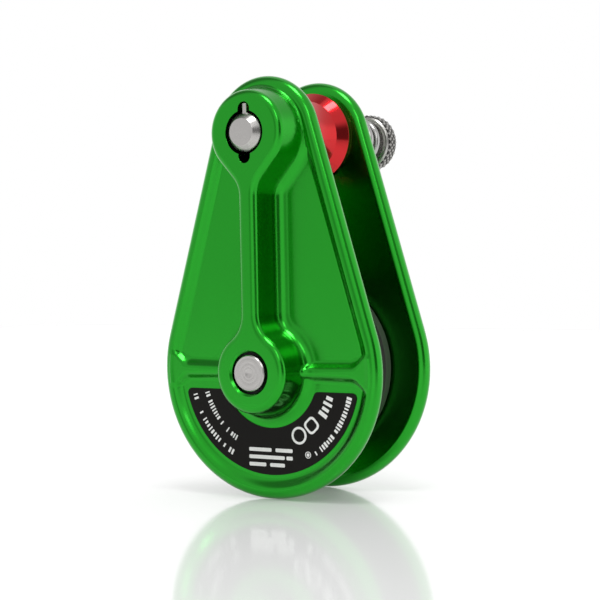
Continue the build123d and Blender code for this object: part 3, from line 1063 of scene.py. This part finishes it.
# brightness round the horizon, by share of a turn from straight behind the object's back
horizon = [(0.0, 1.1), (0.2, 1.1), (0.25, 0.95), (0.3, 0.78), (0.455, 0.78), (0.48, 0.5), (0.52, 0.55),
           (0.55, 1.0), (0.63, 1.0), (0.65, 0.14), (0.715, 0.14), (0.74, 1.15), (1.0, 1.1)]
overhead = [(0.0, 0.8), (0.17, 0.8), (0.22, 0.3), (0.33, 0.3), (0.4, 0.8), (1.0, 0.8)]
heights = {"lift": (0.3, 0.6), "dip": (0.06, 0.12), "ground": 0.95, "backdrop": 1.0}


def makeSky():
    sky = Sky("studio")
    bpy.context.scene.world = sky.world
    across = sky.make("ShaderNodeSeparateXYZ", {}, sky.make("ShaderNodeTexCoord", {}, out="Generated"))
    away, rise = across.beside(1), across.beside(2)
    turn = across.maths("ARCTAN2", away * -1.0) * (0.5 / math.pi) + 0.5
    level, high = (sky.make("ShaderNodeValToRGB", {"stops": [(p, shade(v)) for p, v in stops]}, turn)
                   for stops in (horizon, overhead))
    smooth = {"interpolation_type": "SMOOTHSTEP"}
    lift = sky.make("ShaderNodeMapRange", smooth, rise, *heights["lift"])
    dip = sky.make("ShaderNodeMapRange", smooth, rise * -1.0, *heights["dip"])
    light = sky.mix(dip, sky.mix(lift, level, high), shade(heights["ground"]))
    seen = sky.make("ShaderNodeLightPath", {}, out="Is Camera Ray")
    light = sky.mix(seen, light, shade(heights["backdrop"]))
    glow = sky.make("ShaderNodeBackground", {}, light, 1.0)
    sky.make("ShaderNodeOutputWorld", {}, Surface=glow)


makeSky()


def towards(azimuth, elevation):
    # a direction from the object; azimuth 0 is straight in front of it, and 90 is its right
    a, e = math.radians(azimuth), math.radians(elevation)
    return Vector((math.sin(a) * math.cos(e), -math.cos(a) * math.cos(e), math.sin(e)))


lampTarget = Vector((0, 0, 0.035))
# name: azimuth, elevation, distance, width, height, radiance
lamps = {
    "highRight": (42, 71, 1.2, 0.38, 0.38, 9.0),
    "midRight": (46, 35, 1.2, 0.25, 0.42, 2.4),
}
for name, (azimuth, elevation, distance, width, height, radiance) in lamps.items():
    data = bpy.data.lights.new(name, "AREA")
    data.shape = "RECTANGLE"
    data.size, data.size_y = width, height
    data.energy = radiance * math.pi * width * height
    lamp = bpy.data.objects.new(name, data)
    bpy.context.scene.collection.objects.link(lamp)
    away = towards(azimuth, elevation)
    lamp.location = lampTarget + away * distance
    lamp.rotation_euler = away.to_track_quat("Z", "Y").to_euler()
    lamp.visible_camera = False

camera = {"azimuth": 32.935, "elevation": 0.202, "roll": -1.111, "distance": 0.49925, "lens": 98.907,
          "target": (0, -0.00085, 0.0332), "shift": (0.01149, -0.07016), "sensor": 36.0, "clip": (0.01, 20.0)}


def placeCamera():
    azimuth, roll = math.radians(camera["azimuth"]), math.radians(camera["roll"])
    back = towards(camera["azimuth"], camera["elevation"])
    level = Vector((math.cos(azimuth), math.sin(azimuth), 0))
    upright = back.cross(level)
    right = level * math.cos(roll) + upright * math.sin(roll)
    up = upright * math.cos(roll) - level * math.sin(roll)
    data = bpy.data.cameras.new("camera")
    data.lens, data.sensor_width = camera["lens"], camera["sensor"]
    data.shift_x, data.shift_y = camera["shift"]
    data.clip_start, data.clip_end = camera["clip"]
    eye = bpy.data.objects.new("camera", data)
    bpy.context.scene.collection.objects.link(eye)
    place = Vector(camera["target"]) + back * camera["distance"]
    eye.matrix_world = Matrix.Translation(place) @ Matrix((right, up, back)).transposed().to_4x4()
    bpy.context.scene.camera = eye


placeCamera()
bpy.context.scene.view_settings.view_transform = "Standard"
print("stage, light and camera made")
